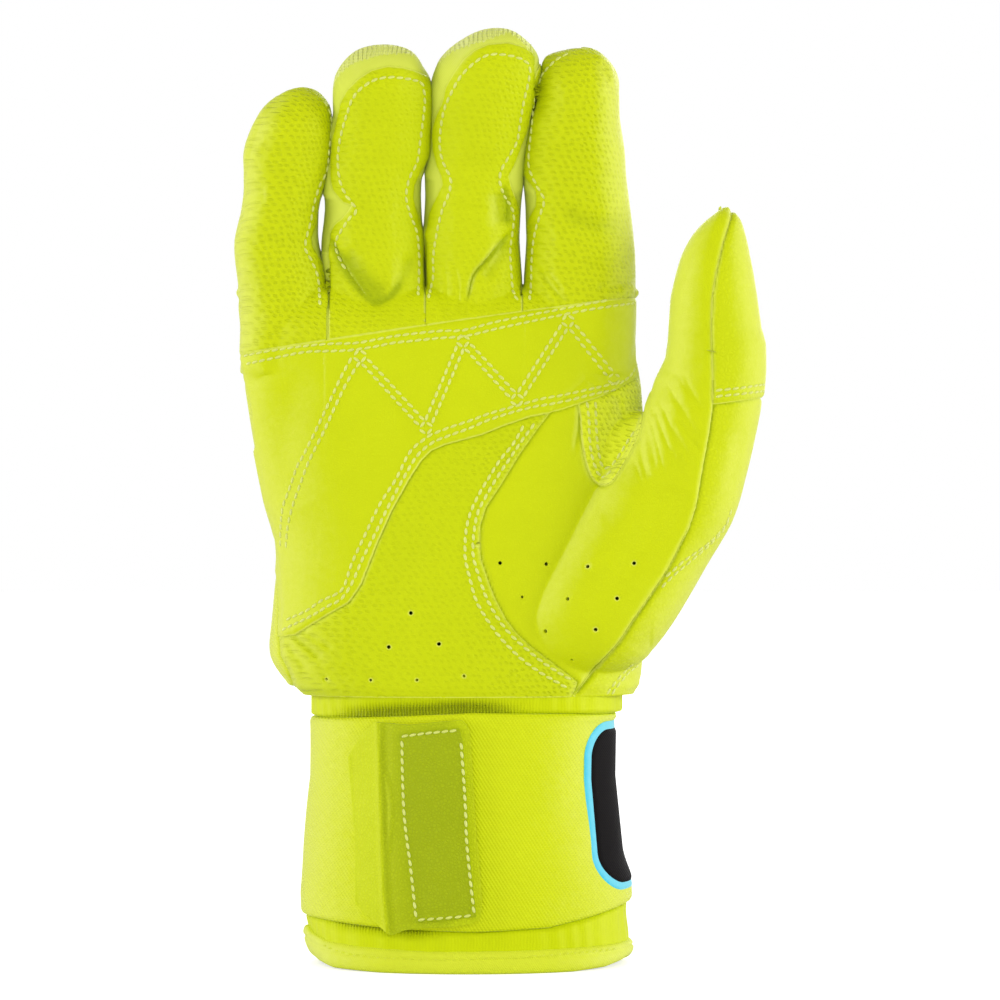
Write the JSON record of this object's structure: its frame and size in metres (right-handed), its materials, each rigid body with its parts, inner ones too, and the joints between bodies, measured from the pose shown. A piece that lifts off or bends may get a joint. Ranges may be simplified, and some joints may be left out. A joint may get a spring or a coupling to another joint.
{
  "type": "batting glove",
  "caption": "Right-hand batting glove with a stitched palm overlay, fourchettes between the fingers, a capped thumb and a long elastic wrist cuff closed by a strap with a hook-and-loop tab",
  "frame": {"origin": "middle of the box around the glove, on the surface that the hem stands on", "axes": "+Z from the cuff to the fingertips, the palm faces -Y, +X is the thumb side"},
  "size_m": [0.1336, 0.0582, 0.2358],
  "materials": {
    "smooth_leather": "smooth full-grain leather, soft sheen",
    "textured_leather": "leather with a pressed dot grain",
    "back_leather": "synthetic leather, fine grain",
    "stretch_fabric": "stretch fabric with a diagonal weave",
    "ribbed_knit": "ribbed elastic knit",
    "hem_tape": "folded binding tape",
    "tab_leather": "pebbled synthetic leather",
    "hook_and_loop": "hook-and-loop tape",
    "patch_rim": "moulded rubber, satin",
    "patch_face": "moulded rubber, satin"
  },
  "bodies": {
    "hand": {"palm_leather": "textured_leather", "palm_overlay": "smooth_leather", "crotch_gusset": "smooth_leather", "thumb_palm_panel": "smooth_leather", "thumb_back_panel": "back_leather", "side_gore": "stretch_fabric", "knuckle_flex_band": "ribbed_knit", "back_of_hand": "stretch_fabric", "cuff_sleeve": "ribbed_knit", "hem_binding": "hem_tape", "wrist_strap": "stretch_fabric", "loop_patch": "hook_and_loop", "badge_rim": "patch_rim", "badge_face": "patch_face"},
    "knuckles": {"finger_web_front": "textured_leather", "fourchette_ring_little": "stretch_fabric", "fourchette_middle_ring": "stretch_fabric", "fourchette_index_middle": "stretch_fabric", "little_back_lower": "stretch_fabric", "ring_back_lower": "stretch_fabric", "middle_back_lower": "stretch_fabric", "index_back_lower": "stretch_fabric"},
    "thumb_tip": {"thumb_tip_front": "smooth_leather", "thumb_back_cap": "back_leather"},
    "strap_tab": {"tab_leather": "tab_leather", "tab_patch": "hook_and_loop", "hook_patch": "hook_and_loop"},
    "little_tip": {"little_tip_front": "textured_leather", "little_tip_fourchette": "stretch_fabric", "little_tip_back": "stretch_fabric"},
    "ring_tip": {"ring_tip_front": "textured_leather", "ring_tip_fourchette": "stretch_fabric", "ring_tip_back": "stretch_fabric"},
    "middle_tip": {"middle_tip_front": "textured_leather", "middle_tip_fourchette": "stretch_fabric", "middle_tip_back": "stretch_fabric"},
    "index_tip": {"index_tip_front": "textured_leather", "index_tip_fourchette": "stretch_fabric", "index_tip_back": "stretch_fabric"}
  },
  "joints": [
    {"name": "knuckle_bend", "type": "hinge", "parent": "hand", "child": "knuckles", "pos_m": [-0.01544, -0.01894, 0.1618], "axis": [0.9898, 0, 0.1426], "range_deg": [0, 70], "stiffness_Nm_per_rad": 0.06},
    {"name": "little_finger_bend", "type": "hinge", "parent": "knuckles", "child": "little_tip", "pos_m": [-0.05638, -0.01359, 0.181], "axis": [1, 0, 0], "range_deg": [0, 80], "stiffness_Nm_per_rad": 0.012},
    {"name": "ring_finger_bend", "type": "hinge", "parent": "knuckles", "child": "ring_tip", "pos_m": [-0.03164, -0.01662, 0.19075], "axis": [1, 0, 0], "range_deg": [0, 80], "stiffness_Nm_per_rad": 0.012},
    {"name": "middle_finger_bend", "type": "hinge", "parent": "knuckles", "child": "middle_tip", "pos_m": [-0.00579, -0.01792, 0.19512], "axis": [1, 0, 0], "range_deg": [0, 80], "stiffness_Nm_per_rad": 0.012},
    {"name": "index_finger_bend", "type": "hinge", "parent": "knuckles", "child": "index_tip", "pos_m": [0.02002, -0.01713, 0.19087], "axis": [1, 0, 0], "range_deg": [0, 80], "stiffness_Nm_per_rad": 0.012},
    {"name": "thumb_bend", "type": "hinge", "parent": "hand", "child": "thumb_tip", "pos_m": [0.04645, -0.02614, 0.14459], "axis": [0.9063, -0.4226, 0], "range_deg": [0, 35], "stiffness_Nm_per_rad": 0.02},
    {"name": "tab_peel", "type": "hinge", "parent": "hand", "child": "strap_tab", "pos_m": [-0.00382, -0.02966, 0.03775], "axis": [0, 0, 1], "range_deg": [0, 110]}
  ]
}
